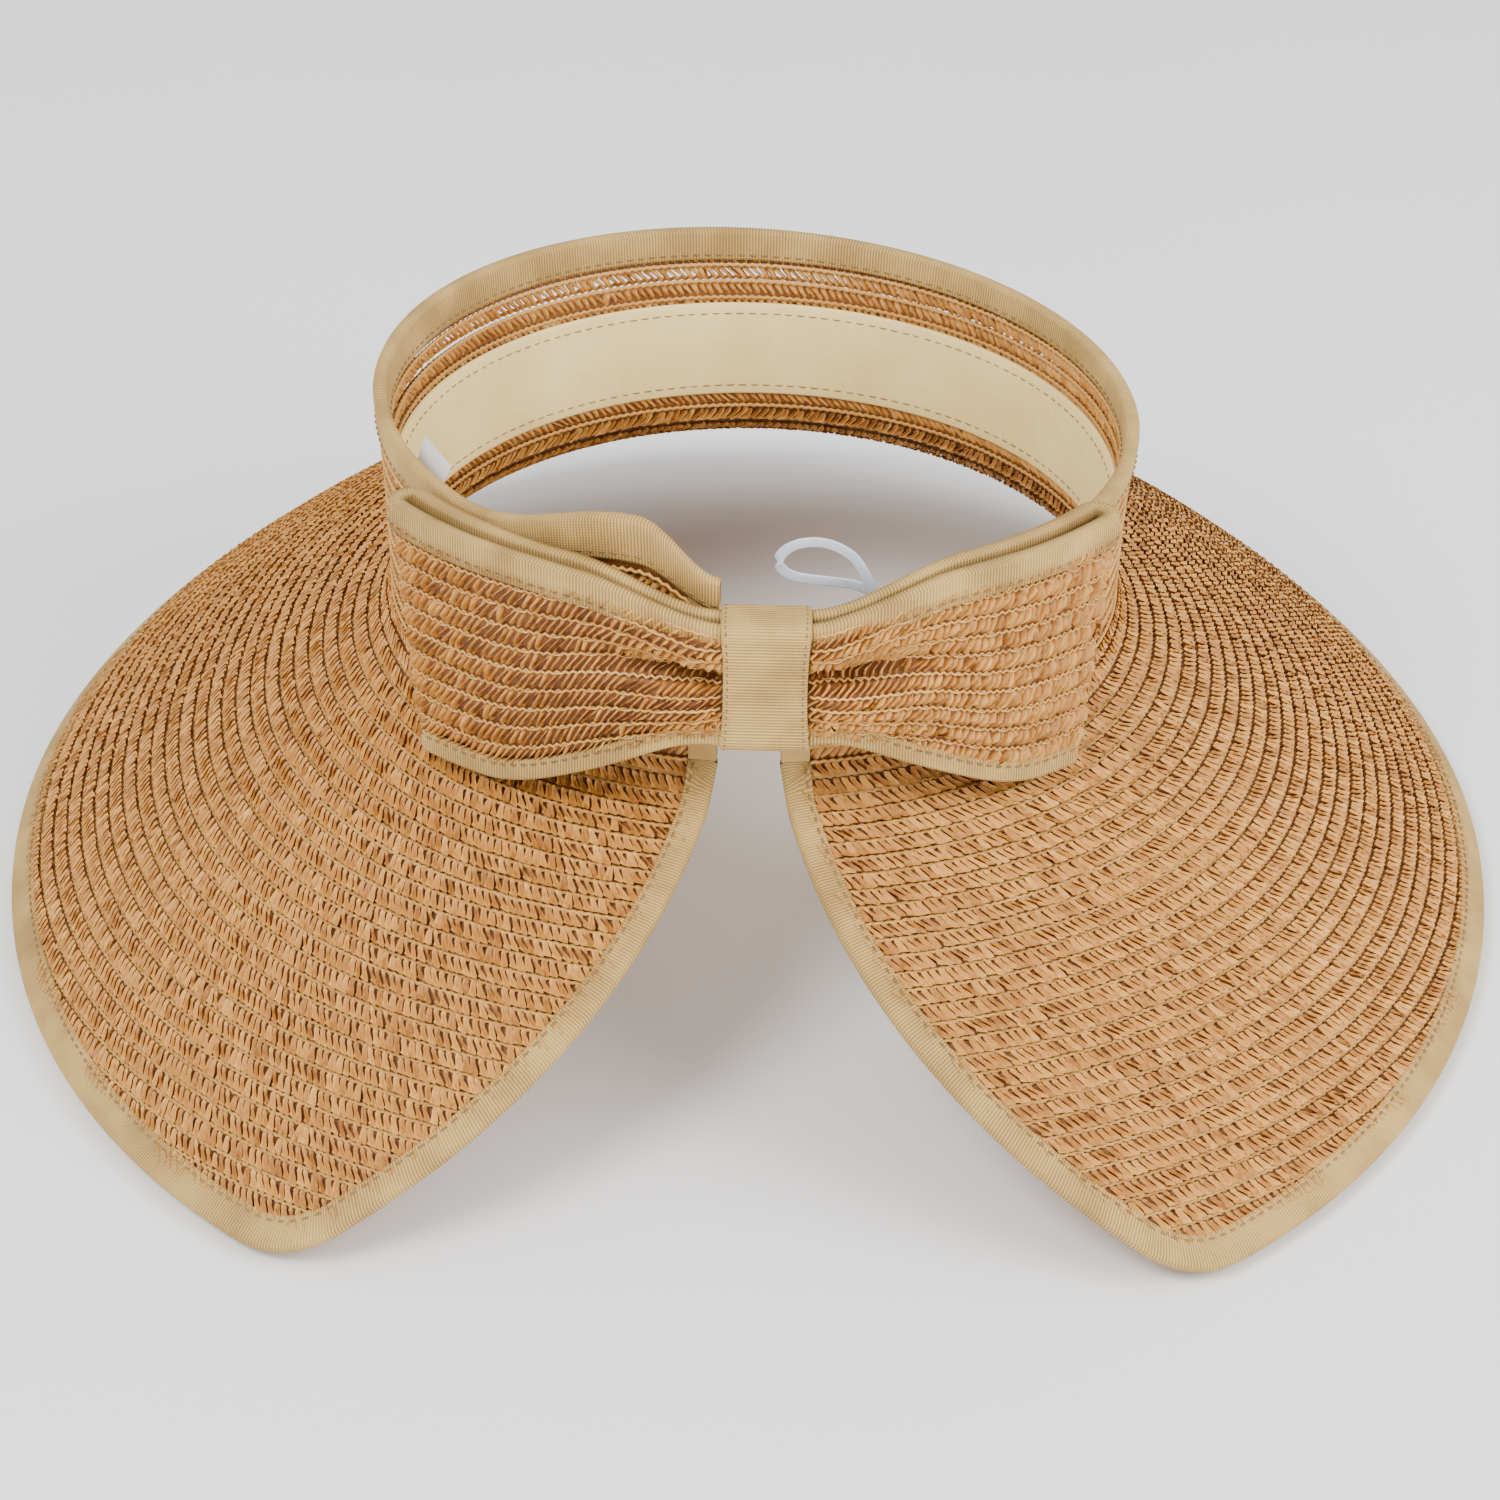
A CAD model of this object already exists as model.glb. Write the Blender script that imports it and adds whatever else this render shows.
from math import atan2, cos, pi, radians, sin

import bpy
import numpy as np
from mathutils import Matrix, Vector


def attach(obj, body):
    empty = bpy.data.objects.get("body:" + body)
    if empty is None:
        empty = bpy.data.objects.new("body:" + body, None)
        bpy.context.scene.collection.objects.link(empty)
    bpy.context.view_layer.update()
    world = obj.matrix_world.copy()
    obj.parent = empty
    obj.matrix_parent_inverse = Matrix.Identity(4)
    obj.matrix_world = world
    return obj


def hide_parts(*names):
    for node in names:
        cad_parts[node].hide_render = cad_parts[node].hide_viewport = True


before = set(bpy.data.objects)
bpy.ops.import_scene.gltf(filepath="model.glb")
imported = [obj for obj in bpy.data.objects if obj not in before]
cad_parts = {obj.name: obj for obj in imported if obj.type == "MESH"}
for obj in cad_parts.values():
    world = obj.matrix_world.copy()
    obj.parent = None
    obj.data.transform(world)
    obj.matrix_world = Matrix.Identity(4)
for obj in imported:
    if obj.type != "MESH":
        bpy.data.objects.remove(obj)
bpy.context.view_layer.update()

MM = 0.001
dice = np.random.default_rng(7)

# ---- the visor's shape, in millimetres, as the frame has it ---------------------------------------
HALF_X, HALF_Y, CENTRE_Y, FOOT_Z = 90.0, 89.4, 5.9, 80.0
HEIGHT, FLARE, LEAN = 49.0, 2.9, 4.4
RISE, RISE_X, RISE_NEAR, RISE_FAR = 14.0, 26.0, 19.0, 44.0
BEND, STRAW, RIBBON = 13.7, 2.0, 0.6
DIP, DIP_SPAN = 9.0, 42.0
TIP_ANGLE, TIP_ROUND, END_GAP = 150.5, 26.0, 7.5
TOP_HALF_X, DIP_X = 92.5, -7.4  # half width of the crown's top edge, and where its right end dips most
FRONT_LIFT = 21.5  # the brim's edge stands this far off the floor at the brow
COURSE, STRAND = 4.5, 2.05  # pitch of the braid courses, and of the strands along one
COURSE_EDGE = COURSE * 0.46  # from the middle of a course to its plaited edge
CORE_FACES = (-0.75, -1.25)  # the dark inner layer lies between these, below the straw's outer face
STEP_U, STEP_V = radians(0.2), 0.2  # small steps in angle and in millimetres, for a surface's normal


def three_way(front, side, back, u):
    mean, swing, pull = (front + 2 * side + back) / 4, (front - back) / 2, (front - 2 * side + back) / 4
    return mean + swing * np.cos(u) + pull * np.cos(2 * u)


def slope(u, v):
    """Radians below level. u is in radians."""
    brim = three_way(2.0, 32.0, 16.0, u) + v * three_way(0.364, 0.05, 0.168, u)
    share = np.clip(v / BEND, None, 1.0)
    return np.radians(90 * (1 - share) + brim * share)


# how far out and down the straw goes, worked out once for every half degree and quarter millimetre
STEPS, TABLE_STEP = 40, 0.25
TABLE_U, TABLE_V = np.radians(np.arange(-360, 361)) / 2, np.arange(0, 240, TABLE_STEP)
slopes = [slope(TABLE_U[:, None], TABLE_V[None] * (i + 0.5) / STEPS) for i in range(STEPS)]
TABLE = np.stack([sum(turned(a) for a in slopes) * TABLE_V / STEPS for turned in (np.cos, np.sin)])


def table_at(table, i, j):
    """The values of a table between its rows i and columns j."""
    i, j = np.clip(i, 0, table.shape[1] - 1.001), np.clip(j, 0, table.shape[2] - 1.001)
    a, b = i.astype(int), j.astype(int)
    s, t = i - a, j - b
    return (table[:, a, b] * (1 - s) + table[:, a + 1, b] * s) * (1 - t) + (
        table[:, a, b + 1] * (1 - s) + table[:, a + 1, b + 1] * s
    ) * t


def profile(u, v):
    """How far out and down the straw has gone after v millimetres."""
    u, v = np.broadcast_arrays(u, v)
    return table_at(TABLE, (u - TABLE_U[0]) / (TABLE_U[1] - TABLE_U[0]), v / TABLE_STEP)


def ring(u, out, z, wider=0.0):
    """A point outside the crown's oval by out, square to the oval."""
    nx, ny = np.sin(u) / HALF_X, -np.cos(u) / HALF_Y
    n = np.hypot(nx, ny)
    grow = 1 + wider / HALF_X
    x = grow * HALF_X * np.sin(u) + out * nx / n
    y = -grow * HALF_Y * np.cos(u) + out * ny / n + CENTRE_Y
    return np.stack(np.broadcast_arrays(x, y, FOOT_Z + z), -1)


def crown(u, h, raised=0.0):
    """A point of the crown wall h above its foot, with the raised left end and the dipping right end."""
    share = h / HEIGHT
    x, behind = TOP_HALF_X * np.sin(u), np.cos(u) < 0
    away = x - RISE_X
    away = np.clip(np.where(away < 0, -away / RISE_NEAR, away / RISE_FAR), 0, 1)
    tall = h + RISE * np.cos(away * pi / 2) ** 2 * behind * share**2
    dip = np.clip((DIP_X - x) / DIP_SPAN, 0, 1)
    tall = tall - DIP * np.cos(dip * pi / 2) ** 2 * (behind & (np.sin(u) < 0)) * share**2
    return ring(u, raised, tall + LEAN * np.sin(u) * share**2, FLARE * (tall / HEIGHT) ** 2)


def brim(u, v, raised=0.0):
    """A point of the brim v from the foot of the crown."""
    out, down = profile(u, v)
    a = slope(u, v)
    return ring(u, out + raised * np.sin(a), raised * np.cos(a) - down)


def reach(u):
    """How far along the straw the brim's edge is."""
    drop = FOOT_Z - FRONT_LIFT * np.where(np.abs(u) < pi / 2, np.cos(u) ** 2, 0.0)
    low, high = np.full(np.shape(u), 40.0), np.full(np.shape(u), 220.0)
    for _ in range(24):
        mid = (low + high) / 2
        fallen = profile(u, mid)[1] + (STRAW + RIBBON) / np.cos(slope(u, mid))
        low, high = np.where(fallen < drop, mid, low), np.where(fallen < drop, high, mid)
    return low


def inward_normals(path):
    along = np.gradient(path, axis=0)
    along /= np.linalg.norm(along, axis=1, keepdims=True)
    return np.stack([-along[:, 1], along[:, 0]], 1)


def even(path, step):
    """The same path with even steps."""
    length = np.append(0, np.cumsum(np.linalg.norm(np.diff(path, axis=0), axis=1)))
    at = np.linspace(0, length[-1], int(length[-1] / step) + 2)
    return np.stack([np.interp(at, length, path[:, i]) for i in range(path.shape[1])], 1)


# the rim in plan, from the right foot of the back opening round the brow to the left foot
tip_v = float(reach(np.array([radians(TIP_ANGLE)]))[0])
u = np.radians(np.linspace(0, TIP_ANGLE, 500))
outer = brim(u, reach(u))[:, :2]
share = np.linspace(1, 0, 300)
start = END_GAP / HALF_Y
opening_u = pi - start - (pi - radians(TIP_ANGLE) - start) * (0.58 * share**2 + 0.42 * share)
opening = brim(opening_u, tip_v * share)[:, :2]
in_a, in_b = outer + TIP_ROUND * inward_normals(outer), opening + TIP_ROUND * inward_normals(opening)
gaps = np.linalg.norm(in_a[:, None] - in_b[None], axis=2)
i, j = np.unravel_index(gaps.argmin(), gaps.shape)
centre = (in_a[i] + in_b[j]) / 2
a0, a1 = (atan2(*(p - centre)[::-1]) for p in (outer[i], opening[j]))
turn = (a1 - a0) % (2 * pi)
around = a0 + turn * np.linspace(0, 1, 40)
arc = centre + TIP_ROUND * np.stack([np.cos(around), np.sin(around)], 1)
half = np.concatenate([outer[:i], arc, opening[j + 1 :]])
rim = even(np.concatenate([half[::-1] * [-1, 1], half[1:]]), 1.9)
rim_in = inward_normals(rim)


def unroll(xy):
    """The u and v of the brim under a plan point."""
    u = np.arctan2(xy[..., 0], -(xy[..., 1] - CENTRE_Y))
    for _ in range(8):
        nx, ny = np.sin(u) / HALF_X, -np.cos(u) / HALF_Y
        n = np.hypot(nx, ny)
        dx, dy = xy[..., 0] - HALF_X * np.sin(u), xy[..., 1] - CENTRE_Y + HALF_Y * np.cos(u)
        out = (dx * nx + dy * ny) / n
        u = u + (-dx * ny + dy * nx) / n / (HALF_X + out)
    low, high = np.zeros(np.shape(u)), np.full(np.shape(u), 230.0)
    for _ in range(24):
        mid = (low + high) / 2
        short = profile(u, mid)[0] < out
        low, high = np.where(short, mid, low), np.where(short, high, mid)
    return u, low


def rim_gap_exact(xy):
    """How far a plan point is inside the rim, negative outside it."""
    near = np.full(len(xy), 1e9)
    crossings = np.zeros(len(xy), int)
    loop = np.concatenate([rim, [[END_GAP, 0.0], [-END_GAP, 0.0]], rim[:1]])
    for p, q in zip(loop[:-1], loop[1:]):
        ab = q - p
        t = np.clip(((xy - p) @ ab) / max(ab @ ab, 1e-9), 0, 1)
        if abs(p[1]) > 1e-6 or abs(q[1]) > 1e-6:
            near = np.minimum(near, np.linalg.norm(xy - p - t[:, None] * ab, axis=1))
        straddles = (p[1] > xy[:, 1]) != (q[1] > xy[:, 1])
        rise = ab[1] if ab[1] else 1e-9
        crossings += straddles & (xy[:, 0] < p[0] + (xy[:, 1] - p[1]) * ab[0] / rise)
    return np.where(crossings % 2 == 1, near, -near)


GAP_STEP = 1.5
GAP_X, GAP_Y = np.arange(-192, 193, GAP_STEP), np.arange(-190, 194, GAP_STEP)
plan_grid = np.stack(np.meshgrid(GAP_X, GAP_Y, indexing="ij"), -1)
GAP = rim_gap_exact(plan_grid.reshape(-1, 2)).reshape(1, len(GAP_X), len(GAP_Y))


def rim_gap(xy):
    return table_at(GAP, (xy[:, 0] - GAP_X[0]) / GAP_STEP, (xy[:, 1] - GAP_Y[0]) / GAP_STEP)[0]


# ---- meshes ---------------------------------------------------------------------------------------
def mesh_object(name, verts, quads, material, body, uv=None, tone=None, smooth=True):
    mesh = bpy.data.meshes.new(name)
    quads = np.asarray(quads, np.int32)
    mesh.vertices.add(len(verts))
    mesh.vertices.foreach_set("co", (np.asarray(verts, np.float64) * MM).astype(np.float32).ravel())
    mesh.loops.add(quads.size)
    mesh.loops.foreach_set("vertex_index", quads.ravel())
    mesh.polygons.add(len(quads))
    mesh.polygons.foreach_set("loop_start", np.arange(0, quads.size, quads.shape[1], dtype=np.int32))
    mesh.polygons.foreach_set("loop_total", np.full(len(quads), quads.shape[1], np.int32))
    mesh.polygons.foreach_set("use_smooth", np.full(len(quads), smooth))
    if uv is not None:
        layer = mesh.uv_layers.new(name="weave")
        layer.data.foreach_set("uv", np.asarray(uv, np.float32)[quads.ravel()].ravel())
    if tone is not None:
        layer = mesh.attributes.new("tone", "FLOAT", "POINT")
        layer.data.foreach_set("value", np.asarray(tone, np.float32))
    mesh.update(calc_edges=True)
    mesh.validate()
    mesh.materials.append(material)
    obj = bpy.data.objects.new(name, mesh)
    bpy.context.scene.collection.objects.link(obj)
    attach(obj, body)
    return obj


def grid_quads(rows, columns, wrap=False):
    i, j = np.meshgrid(np.arange(rows - 1), np.arange(columns if wrap else columns - 1), indexing="ij")
    k = (j + 1) % columns
    corners = [i * columns + j, (i + 1) * columns + j, (i + 1) * columns + k, i * columns + k]
    return np.stack(corners, -1).reshape(-1, 4)


def grid_uv(points):
    """Millimetres along and across a grid of points."""
    along = np.append(0, np.cumsum(np.linalg.norm(np.diff(points[:, points.shape[1] // 2], axis=0), axis=1)))
    across = np.append(0, np.cumsum(np.linalg.norm(np.diff(points[len(points) // 2], axis=0), axis=1)))
    return np.stack(np.meshgrid(along, across, indexing="ij"), -1).reshape(-1, 2)


def ribbon_object(name, points, material, body):
    """A ribbon from a grid of points: rows along it, columns across it. Both faces are in the columns."""
    quads = grid_quads(*points.shape[:2])
    return mesh_object(name, points.reshape(-1, 3), quads, material, body, uv=grid_uv(points))


def normals_of(surface, p, q, dp, dq):
    a = surface(p + dp, q) - surface(p - dp, q)
    b = surface(p, q + dq) - surface(p, q - dq)
    n = np.cross(a, b)
    return n / np.maximum(np.linalg.norm(n, axis=-1, keepdims=True), 1e-12)


def on(surface, p, q, raised, dp, dq, side=1):
    """Points raised off a surface."""
    return surface(p, q) + side * raised[..., None] * normals_of(surface, p, q, dp, dq)


BAR_B = np.array([-1.0, -0.5, 0.05, 0.6, 1.0])  # a strand's points along it
BAR_A = np.array([-1.0, -0.35, 0.35, 1.0])  # and across it


def bars(surface, p, q, dp, dq, side, slant, length=3.6, width=2.45, low=-1.0, high=0.2, lean=0.15):
    """Braid strands lying across their courses: a small curved, crumpled strip for each p and q."""
    n = len(p)
    fast = np.linalg.norm(surface(p + dp, q) - surface(p - dp, q), axis=-1) / (2 * dp)
    wide = np.linalg.norm(surface(p, q + dq) - surface(p, q - dq), axis=-1) / (2 * dq)
    b, a = np.meshgrid(BAR_B, BAR_A, indexing="ij")
    a, b = a.ravel()[None], b.ravel()[None]
    big = 1 + 0.09 * dice.standard_normal((n, 1))
    taper = 0.78 + 0.22 * b
    along = 0.5 * width * big * taper * a + slant[:, None] * (b + 0.30 * np.sin(pi * b))
    along = along + 0.12 * dice.standard_normal((n, 1))
    across = 0.5 * np.reshape(length, (-1, 1)) * b * (1 + 0.06 * dice.standard_normal((n, 1)))
    across = across + 0.25 * a * slant[:, None]
    inner = np.abs(a) < 0.9
    hump = np.where(inner, 1.0, 0.0) * (1 - 0.75 * b**2)
    hump = hump + 0.22 * dice.standard_normal((n, a.shape[1])) * inner
    raised = low + (high - low) * np.clip(hump, 0, 1.25) + lean * (b - 0.2) * 0.5
    pp, qq = p[:, None] + along / fast[:, None], q[:, None] + across / wide[:, None]
    verts = on(surface, pp, qq, raised, dp, dq, side).reshape(-1, 3)
    quads = grid_quads(len(BAR_B), len(BAR_A))[None] + (np.arange(n) * a.shape[1])[:, None, None]
    quads = quads.reshape(-1, 4)
    if side < 0:
        quads = quads[:, ::-1]
    tone = np.repeat(dice.random(n), a.shape[1])
    seat = dice.random((n, 1)) * 50
    uv = np.stack([0.5 * a + seat, 0.5 * b + seat], -1).reshape(-1, 2)
    return verts, quads, tone, uv


def join(parts):
    """One mesh from several, each given as its points, quads, tones and map."""
    first = np.cumsum([0] + [len(part[0]) for part in parts])
    quads = np.concatenate([part[1] + n for part, n in zip(parts, first)])
    verts, tone, uv = (np.concatenate([part[k] for part in parts]) for k in (0, 2, 3))
    return verts, quads, tone, uv


def tube(path, normal, radius, flat=0.7, sides=4):
    """A thin cord along a path of points, a little flattened on to its surface."""
    along = np.gradient(path, axis=0)
    along /= np.maximum(np.linalg.norm(along, axis=1, keepdims=True), 1e-9)
    across = np.cross(along, normal)
    t = 2 * pi * (np.arange(sides) + 0.5) / sides
    c, s = np.cos(t)[None, :, None], np.sin(t)[None, :, None]
    verts = path[:, None] + radius * (c * across[:, None] + flat * s * normal[:, None])
    n = len(path) * sides
    rows, turns = np.arange(len(path)) * 1.0, np.arange(sides) * 0.3
    uv = np.stack([np.repeat(rows, sides), np.tile(turns, len(path))], 1)
    return verts.reshape(-1, 3), grid_quads(len(path), sides, wrap=True), np.full(n, dice.random()), uv


def stitches(path, normal, length, pitch, radius, lift=0.0):
    """Running stitches along a path: short rounded pieces of thread that dip at both ends."""
    distance = np.append(0, np.cumsum(np.linalg.norm(np.diff(path, axis=0), axis=1)))
    parts = []
    for at in np.arange(pitch * 0.5, distance[-1] - length, pitch):
        t = at + length * np.array([0.0, 0.2, 0.5, 0.8, 1.0])
        points = np.stack([np.interp(t, distance, path[:, k]) for k in range(3)], 1)
        up = np.stack([np.interp(t, distance, normal[:, k]) for k in range(3)], 1)
        dip = np.array([-1.0, 0.4, 0.8, 0.4, -1.0]) * radius + lift
        parts.append(tube(points + up * dip[:, None], up, radius, flat=0.8, sides=5))
    return join(parts)


# ---- materials ------------------------------------------------------------------------------------
def material(name, build):
    m = bpy.data.materials.new(name)
    m.use_nodes = True
    tree = m.node_tree
    tree.nodes.clear()
    out = tree.nodes.new("ShaderNodeOutputMaterial")
    shader = tree.nodes.new("ShaderNodeBsdfPrincipled")
    tree.links.new(shader.outputs[0], out.inputs[0])
    build(tree, shader)
    return m


def node(tree, kind, inputs=(), **values):
    n = tree.nodes.new(kind)
    for k, v in values.items():
        setattr(n, k, v)
    for k, v in dict(inputs).items():
        if hasattr(v, "is_output"):
            tree.links.new(v, n.inputs[k])
        else:
            n.inputs[k].default_value = v
    return n


def maths(tree, operation, *values):
    return node(tree, "ShaderNodeMath", dict(enumerate(values)), operation=operation).outputs[0]


def noise(tree, vector, scale, detail=2.0):
    return node(tree, "ShaderNodeTexNoise", {"Vector": vector, "Scale": scale, "Detail": detail}).outputs[0]


def raise_by(tree, shader, height, strength, distance):
    bump = node(tree, "ShaderNodeBump", {"Height": height, "Strength": strength, "Distance": distance})
    tree.links.new(bump.outputs[0], shader.inputs["Normal"])


def ramp(tree, value, stops):
    n = node(tree, "ShaderNodeValToRGB", {0: value})
    while len(n.color_ramp.elements) < len(stops):
        n.color_ramp.elements.new(0.5)
    for e, (at, colour) in zip(n.color_ramp.elements, stops):
        e.position, e.color = at, (*colour, 1)
    return n.outputs[0]


def straw_look(stops, bump=0.35):
    """Paper straw: each strand has its own tone, with broad patches, fine specks and a crumpled face."""

    def build(tree, shader):
        tone = node(tree, "ShaderNodeAttribute", attribute_name="tone").outputs["Fac"]
        place = node(tree, "ShaderNodeTexCoord")
        patch = noise(tree, place.outputs["Object"], 38.0, 4.0)
        spot = noise(tree, place.outputs["Object"], 900.0)
        mix = maths(tree, "MULTIPLY", tone, 0.5)
        mix = maths(tree, "MULTIPLY_ADD", patch, 0.3, mix)
        mix = maths(tree, "MULTIPLY_ADD", spot, 0.6, mix)
        mix = maths(tree, "ADD", mix, -0.2)
        tree.links.new(ramp(tree, mix, stops), shader.inputs["Base Color"])
        stretched = node(tree, "ShaderNodeMapping", {"Vector": place.outputs["UV"], "Scale": (7.0, 1.2, 1.0)})
        raise_by(tree, shader, noise(tree, stretched.outputs[0], 1.6, 3.0), bump, 0.0006)
        shader.inputs["Roughness"].default_value = 0.48
        shader.inputs["Specular IOR Level"].default_value = 0.5

    return build


def ribbon_look(light, dark, pitch, bump, warp_pitch=0.5):
    """Grosgrain: ribs across the ribbon, from millimetres along it in its own map."""

    def build(tree, shader):
        place = node(tree, "ShaderNodeTexCoord")
        split = node(tree, "ShaderNodeSeparateXYZ", {0: place.outputs["UV"]})
        ribs = maths(tree, "SINE", maths(tree, "MULTIPLY", split.outputs[0], 2 * pi / pitch))
        warp = maths(tree, "SINE", maths(tree, "MULTIPLY", split.outputs[1], 2 * pi / warp_pitch))
        weave = maths(tree, "MULTIPLY_ADD", warp, 0.3, ribs)
        shade = maths(tree, "MULTIPLY_ADD", weave, 0.22, noise(tree, place.outputs["Object"], 60.0, 3.0))
        tree.links.new(ramp(tree, shade, [(0.28, dark), (0.72, light)]), shader.inputs["Base Color"])
        raise_by(tree, shader, weave, bump, 0.00012)
        shader.inputs["Roughness"].default_value = 0.72
        shader.inputs["Specular IOR Level"].default_value = 0.25

    return build


def cloth_look(light, dark, rough=0.85):
    """Plain cloth or thread: fine and broad variation between two colours."""

    def build(tree, shader):
        place = node(tree, "ShaderNodeTexCoord")
        fine, broad = noise(tree, place.outputs["Object"], 1400.0), noise(tree, place.outputs["Object"], 45.0)
        shade = maths(tree, "MULTIPLY_ADD", fine, 0.5, broad)
        tree.links.new(ramp(tree, shade, [(0.55, dark), (0.95, light)]), shader.inputs["Base Color"])
        raise_by(tree, shader, fine, 0.3, 0.0002)
        shader.inputs["Roughness"].default_value = rough

    return build


STRANDS = [
    (0.0, (0.26, 0.085, 0.012)), (0.35, (0.53, 0.225, 0.036)),
    (0.72, (0.69, 0.335, 0.068)), (1.0, (0.84, 0.49, 0.13)),
]
EDGES = [(0.0, (0.44, 0.19, 0.035)), (0.5, (0.66, 0.34, 0.08)), (1.0, (0.84, 0.51, 0.15))]
straw = material("straw_strand", straw_look(STRANDS))
straw_edge = material("straw_edge", straw_look(EDGES))
straw_back = material("straw_back", straw_look([(0.0, (0.13, 0.045, 0.009)), (1.0, (0.33, 0.13, 0.028))]))
grosgrain = material("grosgrain", ribbon_look((0.66, 0.43, 0.145), (0.33, 0.195, 0.055), pitch=0.8, bump=0.8))
cotton = material("sweatband_cotton", cloth_look((0.98, 0.77, 0.33), (0.88, 0.66, 0.26)))
thread = material("thread", cloth_look((0.30, 0.175, 0.055), (0.20, 0.11, 0.035)))
clear_thread = material("clear_thread", cloth_look((0.78, 0.52, 0.20), (0.55, 0.33, 0.10), rough=0.35))
pile = material("tape_pile", cloth_look((0.62, 0.41, 0.17), (0.46, 0.29, 0.11)))
satin = material("label_satin", cloth_look((0.88, 0.90, 0.95), (0.74, 0.77, 0.85), rough=0.5))
rubber = material("elastic_braid", cloth_look((0.66, 0.71, 0.80), (0.47, 0.53, 0.62), rough=0.55))


# ---- brim -----------------------------------------------------------------------------------------
def strand_places(levels, angles_at):
    """Angle, level and slant of each strand. The slant is a little less on every other course."""
    u = [angles_at(level) for level in levels]
    v = [np.full_like(a, level) for a, level in zip(u, levels)]
    slant = [np.full_like(a, 0.8 if k % 2 else 1.0) for k, a in enumerate(u)]
    return (np.concatenate(part) for part in (u, v, slant))


def brim_under(u, v):
    return brim(u, v, -STRAW)


courses = np.arange(2.4, 170.0, COURSE)


def along_course(v, step):
    """Even steps along the course at v, as angles, on the whole brim."""
    u = np.radians(np.linspace(-177, 177, 1200))
    line = brim(u, np.full_like(u, v))
    length = np.append(0, np.cumsum(np.linalg.norm(np.diff(line, axis=0), axis=1)))
    return np.interp(np.arange(0, length[-1], step), length, u)


pu, pv, ps = strand_places(courses, lambda v: along_course(v, STRAND))
inside = rim_gap(brim(pu, pv)[:, :2]) > 4.2  # the ribbon hides where the strands stop
pu, pv, ps = pu[inside], pv[inside], ps[inside]
ps = ps * (1 + 0.25 * dice.standard_normal(len(ps)))
sector = np.degrees(pu)
for name, pick in (("right", sector < -60), ("front", np.abs(sector) <= 60), ("left", sector > 60)):
    verts, quads, tone, uv = bars(brim, pu[pick], pv[pick], STEP_U, STEP_V, 1, ps[pick])
    obj = mesh_object(f"brim_courses_{name}", verts, quads, straw, "visor", uv, tone)
    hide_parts("brim_braid")
    verts, quads, tone, uv = bars(brim_under, pu[pick], pv[pick], STEP_U, STEP_V, -1, ps[pick])
    mesh_object(f"brim_lining_{name}", verts, quads, straw, "visor", uv, tone)


def everywhere(p, q):
    return np.ones(len(p), bool)


def on_brim(p, q):
    return rim_gap(brim(p, q)[:, :2]) > 4.0


def course_cords(surface, lines, side, keep, radius=0.6, low=0.3, dp=STEP_U, dq=STEP_V, sway=0.22):
    """The plaited edge of each course, with a slight sway at the strands' pitch."""
    parts = []
    for p, q in lines:
        good = keep(p, q)
        edges = np.flatnonzero(np.diff(np.concatenate([[0], good.astype(int), [0]])))
        for first, last in zip(edges[::2], edges[1::2]):
            if last - first < 4:
                continue
            pp, qq = p[first:last], q[first:last] + sway * np.cos(np.arange(last - first) * pi)
            n = normals_of(surface, pp, qq, dp, dq) * side
            parts.append(tube(surface(pp, qq) + n * low, n, radius))
    return parts


lines = []
for v in courses:
    u = along_course(v + COURSE_EDGE, STRAND / 2)
    lines.append((u, np.full_like(u, v + COURSE_EDGE)))
for name, surface, side in (("brim_edges_top", brim, 1), ("brim_edges_under", brim_under, -1)):
    verts, quads, tone, uv = join(course_cords(surface, lines, side, on_brim))
    mesh_object(name, verts, quads, straw_edge, "visor", uv, tone)

# sewing thread that shows on the edges of the courses
parts = []
for p, q in lines[1:]:
    good = on_brim(p, q)
    p, q = p[good], q[good]
    for i in range(3, len(p) - 4, 7):
        if np.abs(p[i + 3] - p[i]) < 0.2:
            pp, qq = p[i : i + 4], q[i : i + 4] + np.array([-0.1, 0.05, 0.05, -0.1])
            n = normals_of(brim, pp, qq, STEP_U, STEP_V)
            parts.append(tube(brim(pp, qq) + n * np.array([[0.3], [0.85], [0.85], [0.3]]), n, 0.17))
verts, quads, tone, uv = join(parts)
mesh_object("brim_thread", verts, quads, clear_thread, "visor", uv, tone)


def backing(surface, p, q, keep, name):
    """A dark inner layer of straw behind the strands."""
    pp, qq = np.meshgrid(p, q, indexing="ij")
    quads = grid_quads(len(p), len(q))
    centres_p, centres_q = pp.ravel()[quads].mean(1), qq.ravel()[quads].mean(1)
    quads = quads[keep(centres_p, centres_q)]
    uv = np.stack([pp.ravel() * 80, qq.ravel()], 1)
    faces = []
    for raised, order in zip(CORE_FACES, (1, -1)):
        verts = surface(pp, qq, raised).reshape(-1, 3)
        faces.append((verts, quads[:, ::order], dice.random(len(verts)), uv))
    verts, quads, tone, uv = join(faces)
    used, index = np.unique(quads, return_inverse=True)
    return mesh_object(name, verts[used], index.reshape(-1, 4), straw_back, "visor", uv[used], tone[used])


backing(
    brim, np.radians(np.linspace(-177, 177, 330)), np.linspace(0, 168, 58),
    lambda p, q: rim_gap(brim(p, q)[:, :2]) > 2.4, "brim_core",
)

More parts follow.
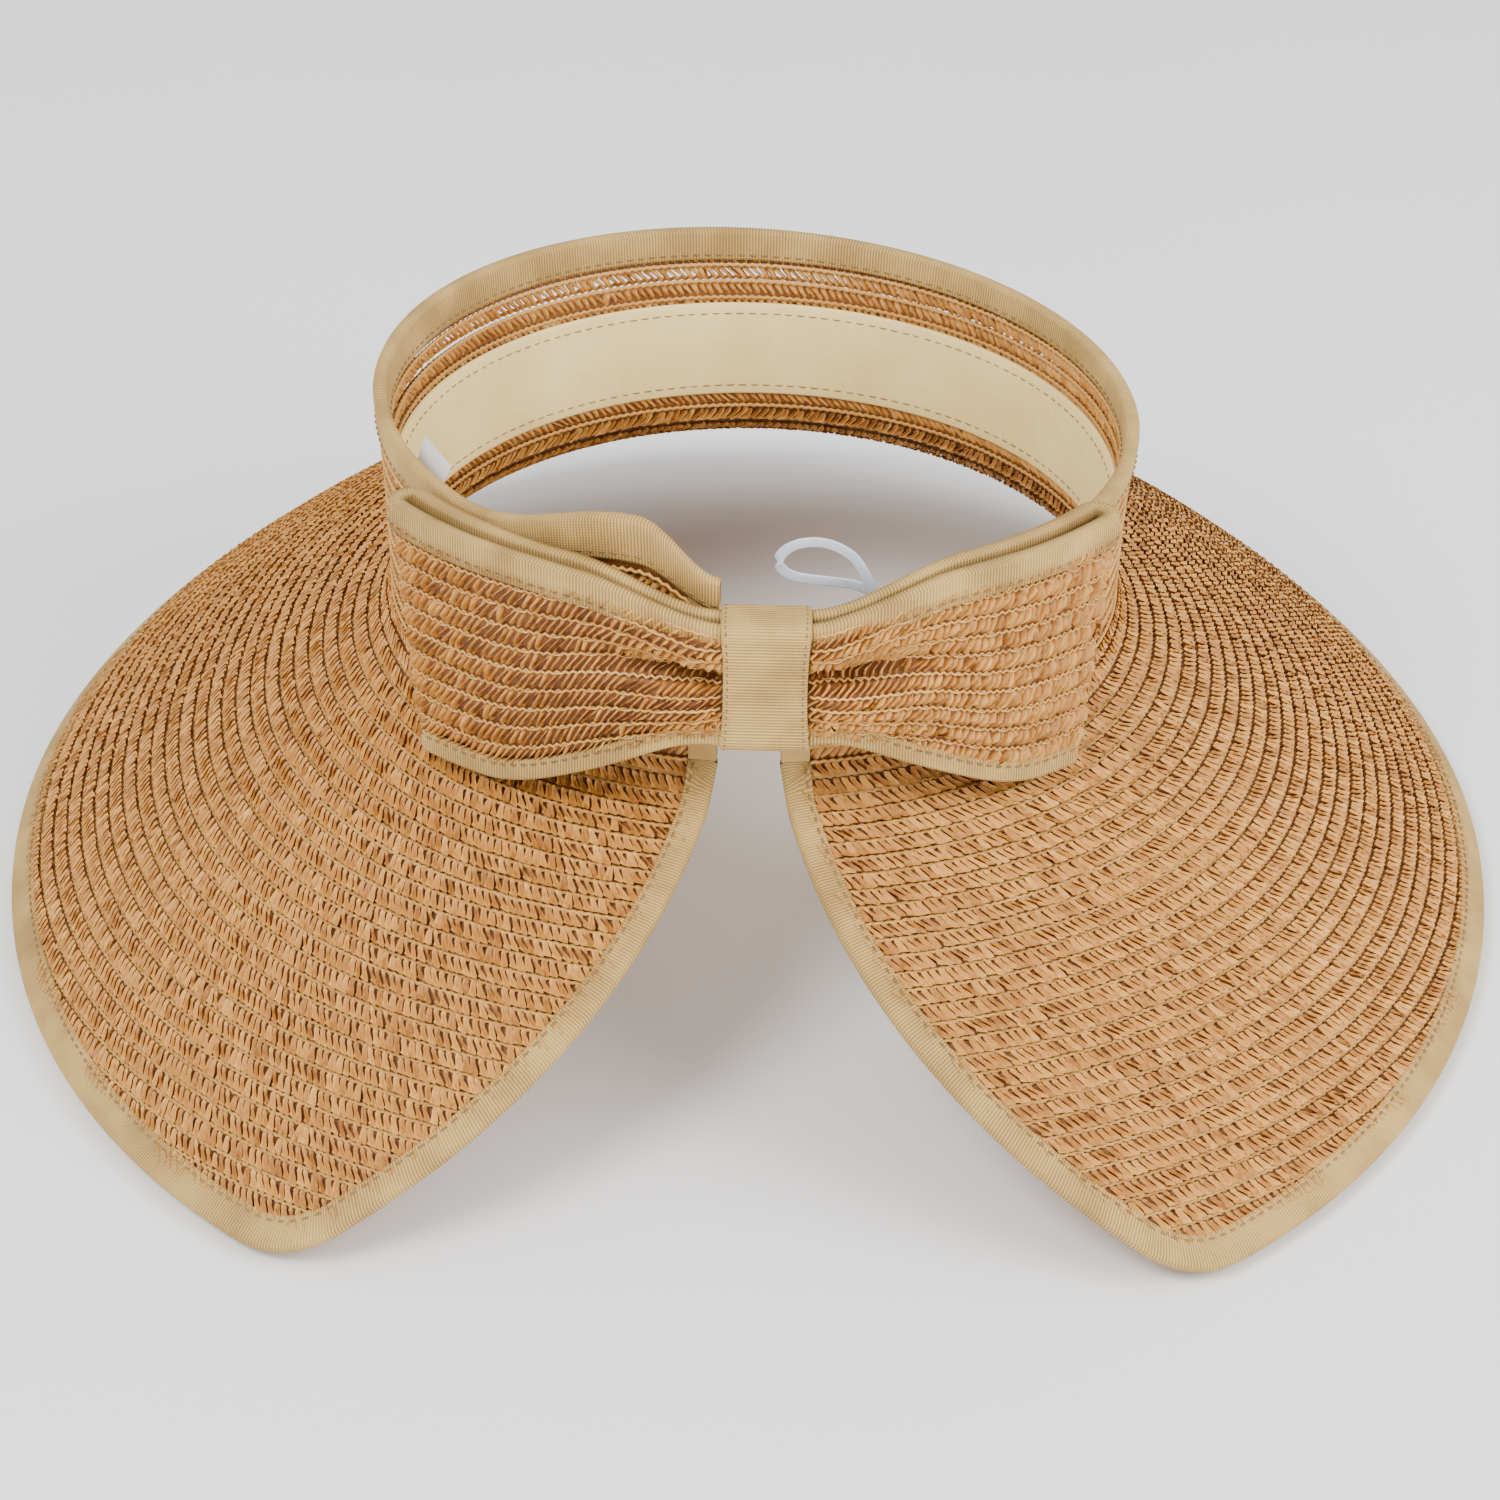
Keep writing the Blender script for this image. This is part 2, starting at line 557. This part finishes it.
# ribbon over the whole rim: how far in from the rim, and how far above the straw's outer face
cross = [
    (6.3, -0.5), (6.25, 0.76), (5.8, 0.84), (4.2, 0.82), (2.0, 0.80), (0.6, 0.75), (-0.1, 0.2),
    (-0.25, -1.0), (-0.1, -2.2), (0.6, -2.72), (2.0, -2.78), (5.8, -2.84), (6.25, -2.76), (6.3, -1.5),
]
columns = []
for inset, raised in cross:
    u, v = unroll(rim + rim_in * inset)
    columns.append(brim(u, v, raised))
grid = np.stack(columns, 1)
obj = ribbon_object("brim_ribbon", grid, grosgrain, "visor")
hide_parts("brim_binding")
for name, raised, side in (("brim_stitching", 0.84, 1), ("brim_stitching_under", -2.82, -1)):
    u, v = unroll(rim + rim_in * 5.1)
    n = brim(u, v, raised + side) - brim(u, v, raised)
    verts, quads, tone, uv = stitches(brim(u, v, raised), n, 2.0, 3.1, 0.26)
    mesh_object(name, verts, quads, thread, "visor", uv, tone)

# ---- crown ----------------------------------------------------------------------------------------
STOP = pi - END_GAP / HALF_Y
WALL_X = 91.0  # half width of the crown part way up, for even steps along its courses


def crown_in(u, h):
    return crown(u, h, -STRAW)


heights = np.arange(1.6, HEIGHT - 3.0, COURSE)
pu, pv, ps = strand_places(heights, lambda h: np.arange(-STOP + 0.03, STOP - 0.03, STRAND / WALL_X))
ps = ps * (1 + 0.25 * dice.standard_normal(len(ps)))
for name, surface, side in (("crown_courses", crown, 1), ("crown_lining", crown_in, -1)):
    verts, quads, tone, uv = bars(surface, pu, pv, STEP_U, STEP_V, side, ps)
    obj = mesh_object(name, verts, quads, straw, "visor", uv, tone)
    if side > 0:
        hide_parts("crown_braid")
lines = []
for h in heights:
    u = np.arange(-STOP + 0.02, STOP - 0.02, STRAND / (2 * WALL_X))
    lines.append((u, np.full_like(u, h - COURSE_EDGE)))
for name, surface, side in (("crown_edges", crown, 1), ("crown_edges_in", crown_in, -1)):
    verts, quads, tone, uv = join(course_cords(surface, lines, side, everywhere))
    mesh_object(name, verts, quads, straw_edge, "visor", uv, tone)
backing(
    crown, np.linspace(-STOP, STOP, 240), np.linspace(0, 47.5, 20),
    lambda p, q: (q < 36) | (q > 41) | (np.abs(p) > 2.0), "crown_core",
)

u = np.linspace(-STOP - 0.006, STOP + 0.006, 420)
cross = [  # height above the crown's foot, and how far outside the straw
    (41.6, -0.5), (41.65, 0.76), (42.2, 0.82), (44.0, 0.8), (48.4, 0.75), (49.1, 0.3), (49.3, -1.0),
    (49.1, -2.3), (48.4, -2.75), (44.0, -2.75), (42.2, -2.82), (41.65, -2.76), (41.6, -1.5),
]
grid = np.stack([crown(u, np.full_like(u, h), r) for h, r in cross], 1)
obj = ribbon_object("crown_ribbon", grid, grosgrain, "visor")
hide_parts("crown_binding")
parts = []
for raised, side in ((0.82, 1), (-2.82, -1)):
    h = np.full_like(u, 43.0)
    n = crown(u, h, raised + side) - crown(u, h, raised)
    parts.append(stitches(crown(u, h, raised), n, 2.0, 3.0, 0.26))
verts, quads, tone, uv = join(parts)
mesh_object("crown_stitching", verts, quads, thread, "visor", uv, tone)

# sweatband
BAND_END, BAND_FOOT = radians(158.0), 3.5
u = np.linspace(-BAND_END, BAND_END, 380)
ripple = 0.18 * np.sin(u * 41) + 0.12 * np.sin(u * 67 + 1)
cross = [
    (0.0, -2.1), (0.0, -2.9), (0.5, -3.05), (4.0, -3.15), (8.0, -3.3), (13.0, -3.35),
    (18.0, -3.3), (22.0, -3.15), (25.5, -3.05), (26.0, -2.9), (26.0, -2.1),
]
columns = []
for h, r in cross:
    loose = (0.2 if h < 3 or h > 23 else 1.0) * (r < -2.5)  # it ripples least where it is sewn
    columns.append(crown(u, np.full_like(u, h + BAND_FOOT), r - 0.1 - abs(ripple) * loose))
grid = np.stack(columns, 1)
obj = ribbon_object("sweatband_cloth", grid, cotton, "visor")
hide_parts("sweatband")
parts = []
for level in (6.1, 26.9):
    h = np.full_like(u, level)
    n = crown(u, h, -4.0) - crown(u, h, -3.0)
    parts.append(stitches(crown(u, h, -3.3), n, 2.2, 3.2, 0.17))
verts, quads, tone, uv = join(parts)
mesh_object("sweatband_stitching", verts, quads, thread, "visor", uv, tone)

# ---- bow ------------------------------------------------------------------------------------------
BOW_END, FRONT, BACK = 128.0, 14.0, 7.8
KNOT_X, KNOT_W, KNOT_H, KNOT_FOOT = -3.5, 20.5, 33.5, 12.5
KNOT_LOW, KNOT_HIGH = FOOT_Z + KNOT_FOOT, FOOT_Z + KNOT_FOOT + KNOT_H


def gather(x, span):
    s = np.clip((np.abs(x - KNOT_X) - KNOT_W / 2) / span, 0, 1)
    return s * s * (3 - 2 * s)


def wing_top(x):
    high = KNOT_HIGH - 1.4
    return high + (FOOT_Z + 54 - high) * gather(x, 34.0) - 2.0 * (np.clip(np.abs(x) - 50, 0, None) / 40) ** 2


def wing_bottom(x):
    low = KNOT_LOW + 1.4
    return low + (FOOT_Z - 6.5 - low) * gather(x, 56.0)


def knot_angle(side):
    """Where a wing goes into the knot."""
    x = KNOT_X + side * (KNOT_W / 2 - 0.6)
    return side * pi - x / (HALF_X + FRONT)


def fold_depth(s, t):
    """Gathers of the front panel: s from 0 at the knot to 1 at the outer end, t up the wing."""
    near = np.exp(-((s / 0.27) ** 2)) * (1 - 0.5 * np.exp(-((s / 0.04) ** 2)))
    folds = 3.0 * np.exp(-(((t - 0.82) / 0.15) ** 2)) + 3.6 * np.exp(-(((t - 0.27) / 0.17) ** 2))
    hollow = 8.5 * np.exp(-(((t - 0.57) / 0.085) ** 2)) + 2.0 * np.exp(-(((t - 0.05) / 0.05) ** 2))
    return near * (folds - hollow) + 0.5 * np.exp(-((s / 0.42) ** 2)) * np.cos(9 * t + 5 * s)


WING = (pi - radians(BOW_END)) * (HALF_X + FRONT) - 10  # length of a wing's front panel
WRAP = 1.97 + 12 / WING  # the strip goes round the fold and back behind, in lengths of the front panel
ROWS, LOW_ROW, ALL_ROWS = 10, 0.055, 0.89  # courses of a wing, and their share of its height
STEP_S, STEP_T = 0.002, 0.004  # small steps along and up a wing, for its normal


def wing_end(t):
    """The fold at the outer end leans inwards towards its foot."""
    return radians(BOW_END - 0.5) + radians(6.0) * (1 - t)


def end_drop(s, t):
    """The front panel hangs a little lower at its outer end."""
    hang = -3.6 * np.clip((s - 0.35) / 0.65, 0, 1) ** 1.5 * np.clip((1.5 - s) / 0.3, 0, 1)
    return hang * np.ones_like(t) * (1 - t)


def wing_front(side):
    start = knot_angle(side)

    def surface(s, t):
        stop, middle, r = side * wing_end(t), (FRONT + BACK) / 2, (FRONT - BACK + STRAW) / 2
        turn = np.clip((s - 1) * WING / r, 0, pi)  # past 1 it goes round the fold and back behind the wing
        behind = np.clip(s - 1 - pi * r / WING, 0, 1)
        u = start + (stop - start) * (np.minimum(s, 1) - behind) - side * r * np.sin(turn) / (HALF_X + middle)
        place = ring(u, middle + r * np.cos(turn) + fold_depth(s, t), 0.0)
        x = ring(u, np.full_like(u, FRONT), 0.0)[..., 0]
        low, high = wing_bottom(x), wing_top(x)
        wave = 0.5 * np.sin(14 * s + 6 * t) * np.exp(-((s / 0.5) ** 2))
        place[..., 2] = low + (high - low) * t + wave + end_drop(s, t)
        return place

    return surface


def wing_path(side, half_thick, t=0.5):
    """Plan points round a wing's strip at its outer face: front panel, fold, back panel."""
    start, stop = knot_angle(side), side * wing_end(t)
    u = np.linspace(start, stop, 70)
    front = ring(u, FRONT + half_thick, 0.0)[:, :2]
    back = ring(u[::-1], BACK - half_thick, 0.0)[:, :2]
    middle, r = (FRONT + BACK) / 2, (FRONT - BACK) / 2 + half_thick
    turn = np.linspace(0, pi, 14)[1:-1]
    fold = ring(stop - side * r * np.sin(turn) / (HALF_X + middle), middle + r * np.cos(turn), 0.0)[:, :2]
    return np.concatenate([front, fold, back]), len(u)


def wing_ribbon(side, hand, place, body):
    """Ribbon folded over the top or bottom edge of a wing, all the way round its strip."""
    t_edge = 1.0 if place == "top" else 0.0
    outer, n = wing_path(side, STRAW / 2 + RIBBON + 0.1, t_edge)
    inner, _ = wing_path(side, -STRAW / 2 - RIBBON - 0.1, t_edge)
    x = outer[:, 0]
    s = np.clip(np.arange(len(x)) / (n - 1), 0, 1)
    sway = np.where(np.arange(len(x)) < n, 1.0, np.clip(1 - (np.arange(len(x)) - n) / 10, 0, 1))
    edge = wing_top(x) if place == "top" else wing_bottom(x)
    sign = -1 if place == "top" else 1
    width = 7.5 if place == "top" else 5.6
    push = fold_depth(s, np.full_like(s, t_edge)) * sway
    direction = outer - inner
    direction /= np.linalg.norm(direction, axis=1, keepdims=True)
    shift = direction * push[:, None] * (np.arange(len(x)) < n)[:, None]
    cross = [
        (outer, width), (outer, width - 0.08), (outer, width * 0.5), (outer, 0.9), (outer, 0.25),
        (None, -0.1), (inner, 0.25), (inner, 0.9), (inner, width - 0.08), (inner, width),
    ]
    columns = []
    for path, depth in cross:
        plan = (outer + inner) / 2 if path is None else path
        if depth == width:
            plan = plan * 0.4 + (outer + inner) / 2 * 0.6
        wave = 0.5 * np.sin(14 * s) * np.exp(-((s / 0.5) ** 2)) * sway
        drop = wave + end_drop(s, t_edge) * np.maximum(sway, 0.0)
        columns.append(np.column_stack([plan + shift, edge + sign * depth + drop]))
    grid = np.stack(columns, 1)
    obj = ribbon_object(f"wing_{place}_ribbon_{hand}", grid, grosgrain, body)
    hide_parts(f"bow_{place}_binding_{hand}")
    line = grid[:, 1] * 0.6 + grid[:, 2] * 0.4
    normal = np.column_stack([direction, np.zeros(len(x))])
    verts, quads, tone, uv = stitches(line[2 : n + 6], normal[2 : n + 6], 2.0, 3.0, 0.26, lift=0.05)
    mesh_object(f"wing_{place}_stitching_{hand}", verts, quads, thread, body, uv, tone)


for side, hand, body in ((1, "left", "bow_closure"), (-1, "right", "visor")):
    surface = wing_front(side)
    p = np.arange(0.008, WRAP, 1.95 / WING)
    pp = np.tile(p, ROWS)
    qq = np.concatenate([np.full_like(p, LOW_ROW + ALL_ROWS * (k + 0.5) / ROWS) for k in range(ROWS)])
    ss = np.full_like(pp, 1.15)
    ss = ss * (1 + 0.3 * dice.standard_normal(len(ss))) * -side
    # 1 where the surface's own normal points out from the crown, else -1
    probe = normals_of(surface, np.array([0.7]), np.array([0.5]), STEP_S, STEP_T)[0]
    beside = np.array([side * radians(150.0)])
    facing = 1 if probe @ (ring(beside, 5.0, 0.0)[0] - ring(beside, 0.0, 0.0)[0]) > 0 else -1
    half_row = ALL_ROWS / 2 / ROWS
    pitch = np.linalg.norm(surface(pp, qq + half_row) - surface(pp, qq - half_row), axis=-1)
    verts, quads, tone, uv = bars(
        surface, pp, qq, STEP_S, STEP_T, facing, ss,
        length=pitch * 0.84, width=1.75, low=-1.2, high=0.9, lean=-0.3,
    )
    obj = mesh_object(f"wing_courses_{hand}", verts, quads, straw, body, uv, tone)
    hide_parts(f"bow_wing_{hand}")
    p = np.arange(0.005, WRAP, STRAND / 2 / WING)
    lines = [(p, np.full_like(p, LOW_ROW + ALL_ROWS * k / ROWS)) for k in range(ROWS + 1)]
    cords = course_cords(surface, lines, facing, everywhere, 0.42, -0.1, STEP_S, STEP_T, sway=0.006)
    verts, quads, tone, uv = join(cords)
    mesh_object(f"wing_edges_{hand}", verts, quads, straw_edge, body, uv, tone)
    parts = []
    for p, q in lines[1:-1]:
        for i in range(4, len(p) - 5, 8):
            a, b = p[i : i + 4], q[i : i + 4]
            n = normals_of(surface, a, b, STEP_S, STEP_T) * facing
            parts.append(tube(surface(a, b) + n * np.array([[0.2], [0.62], [0.62], [0.2]]), n, 0.17))
    verts, quads, tone, uv = join(parts)
    mesh_object(f"wing_thread_{hand}", verts, quads, clear_thread, body, uv, tone)
    # the strip itself, behind the strands
    a, b = np.meshgrid(np.linspace(0, WRAP, 220), np.linspace(0.03, 0.97, 40), indexing="ij")
    strip = surface(a, b) - normals_of(surface, a, b, STEP_S, STEP_T) * facing * 0.9
    mesh_object(
        f"wing_strip_{hand}", strip.reshape(-1, 3), grid_quads(*strip.shape[:2]), straw_back, body,
        uv=grid_uv(strip), tone=dice.random(strip.shape[0] * strip.shape[1]),
    )
    for place in ("top", "bottom"):
        wing_ribbon(side, hand, place, body)

# knot: a ribbon wrapped round the pinch, a little waisted
back_y = CENTRE_Y + HALF_Y + FLARE + RIBBON + 0.4
depth, bend = 13.4, 3.0
corners = []
for cy, cz, start in (
    (back_y + depth - bend, KNOT_HIGH - bend, 0.0), (back_y + bend, KNOT_HIGH - bend, 90.0),
    (back_y + bend, KNOT_LOW + bend, 180.0), (back_y + depth - bend, KNOT_LOW + bend, 270.0),
):
    for t in np.radians(start + np.linspace(0, 90, 9)):
        corners.append((cy + bend * cos(t), cz + bend * sin(t)))
loop = even(np.array(corners + corners[:1]), 0.7)
middle_z = (KNOT_LOW + KNOT_HIGH) / 2
across = np.array([-1.0, -1.0, -0.97, -0.9, -0.6, -0.3, 0.0, 0.3, 0.6, 0.9, 0.97, 1.0, 1.0])
sink = np.array([1.2, 0.6, 0.25, 0.05, 0.0, 0.0, 0.0, 0.0, 0.0, 0.05, 0.25, 0.6, 1.2])
normal = np.stack([np.gradient(loop[:, 1]), -np.gradient(loop[:, 0])], 1)
normal /= np.linalg.norm(normal, axis=1, keepdims=True)
if (normal[5] @ (loop[5] - [back_y + depth / 2, middle_z])) < 0:
    normal = -normal
waist = 1 - 0.07 * np.cos((loop[:, 1] - middle_z) / (KNOT_H / 2) * pi / 2)
columns = []
for a, s in zip(across, sink):
    inset = loop - normal * (s + 0.12 * np.sin(loop[:, 1] * 0.9)[:, None] * (abs(a) < 0.95))
    columns.append(np.column_stack([KNOT_X + a * waist * KNOT_W / 2, inset]))
grid = np.stack(columns, 1)
obj = ribbon_object("knot_ribbon", grid, grosgrain, "bow_closure")
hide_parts("bow_knot")
parts = []
for k in (3, -4):
    parts.append(stitches(grid[:, k], np.column_stack([np.zeros(len(loop)), normal]), 1.1, 1.9, 0.18))
verts, quads, tone, uv = join(parts)
mesh_object("knot_stitching", verts, quads, thread, "bow_closure", uv, tone)

# ---- label and elastic loop -----------------------------------------------------------------------
angle = radians(114.0)
low_edge = ring(angle, -3.8, 28.5)
across3, up3 = np.array([cos(angle), sin(angle), 0.0]), np.array([0.0, 0.0, 1.0])
inward3 = -np.array([sin(angle), -cos(angle), 0.0])
a, b = np.meshgrid(np.linspace(-8, 8, 14), np.linspace(0, 22, 20), indexing="ij")
curl = 0.25 + 3.2 * (b / 22) ** 3 + 0.9 * ((a + 8) / 16) * (b / 22) ** 2
sheet_points = low_edge + a[..., None] * across3 + (b - 0.5 * curl**2 / 10)[..., None] * up3
sheet_points = sheet_points + (curl - 0.25)[..., None] * inward3
obj = ribbon_object("label", sheet_points, satin, "label_flap")
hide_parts("care_label")

route = [
    (-29.0, 82.3, 37.0), (-26.0, 82.3, 49.0), (-18.0, 82.0, 55.0), (-9.5, 81.8, 54.5), (-5.0, 81.2, 49.5),
    (-8.0, 80.0, 44.5), (-17.0, 79.2, 43.0), (-26.0, 79.0, 42.0), (-34.0, 78.8, 36.0),
]
curve = bpy.data.curves.new("elastic", "CURVE")
curve.dimensions = "3D"
spline = curve.splines.new("NURBS")
spline.points.add(len(route) - 1)
for point, (x, y, h) in zip(spline.points, route):
    point.co = (x * MM, (y + CENTRE_Y) * MM, (h + FOOT_Z) * MM, 1)
spline.order_u = 3
spline.use_endpoint_u = True
spline.resolution_u = 10
curve.twist_mode = "Z_UP"
curve.extrude = 0.95 * MM
curve.bevel_depth = 0.3 * MM
curve.bevel_resolution = 2
curve.materials.append(rubber)
elastic = bpy.data.objects.new("elastic", curve)
bpy.context.scene.collection.objects.link(elastic)
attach(elastic, "visor")
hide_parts("elastic_loop")
x, y, h = route[0]

for name, look in (
    ("crown_end_binding_left", grosgrain), ("crown_end_binding_right", grosgrain),
    ("bow_seam_tab", grosgrain), ("loop_tape", pile), ("hook_tape", pile),
):
    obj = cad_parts[name]
    for slot in obj.material_slots:
        slot.material = look

# ---- floor, lights and camera ---------------------------------------------------------------------
bpy.ops.mesh.primitive_plane_add(size=6, location=(0, 0, -0.0006))
floor = bpy.context.object
floor.name = "floor"


def floor_look(tree, shader):
    place = node(tree, "ShaderNodeTexCoord")
    cloud = node(tree, "ShaderNodeTexNoise", {"Vector": place.outputs["Object"], "Scale": 3.0})
    pale = ramp(tree, cloud.outputs[0], [(0.3, (0.93, 0.93, 0.93)), (0.7, (0.96, 0.96, 0.96))])
    tree.links.new(pale, shader.inputs["Base Color"])
    shader.inputs["Roughness"].default_value = 0.9


floor.data.materials.append(material("floor_white", floor_look))

world = bpy.data.worlds.new("studio")
world.use_nodes = True
world.node_tree.nodes["Background"].inputs[0].default_value = (1, 1, 1, 1)
world.node_tree.nodes["Background"].inputs[1].default_value = 1.08
bpy.context.scene.world = world


def area(name, place, target, size, power):
    lamp = bpy.data.lights.new(name, "AREA")
    lamp.shape, lamp.size, lamp.energy = "DISK", size, power
    obj = bpy.data.objects.new(name, lamp)
    obj.location = place
    obj.rotation_euler = (Vector(target) - Vector(place)).to_track_quat("-Z", "Y").to_euler()
    bpy.context.scene.collection.objects.link(obj)


area("key", (0.7, 0.9, 1.3), (0, 0, 0.05), 0.7, 23)
area("fill", (-1.1, 0.6, 0.8), (0, 0, 0.05), 1.0, 20)

lens = bpy.data.cameras.new("camera")
lens.sensor_width, lens.lens = 36.0, 105.6
lens.shift_y, lens.shift_x = -0.1216, -0.0028
camera = bpy.data.objects.new("camera", lens)
eye, aim = Vector((-0.0046, 0.9559, 0.6339)), Vector((0, CENTRE_Y * MM, FOOT_Z * MM))
look = (aim - eye).to_track_quat("-Z", "Y").to_matrix()
roll = Matrix.Rotation(radians(1.04), 3, "Z")
camera.matrix_world = Matrix.Translation(eye) @ (look @ roll).to_4x4()
bpy.context.scene.collection.objects.link(camera)
bpy.context.scene.camera = camera
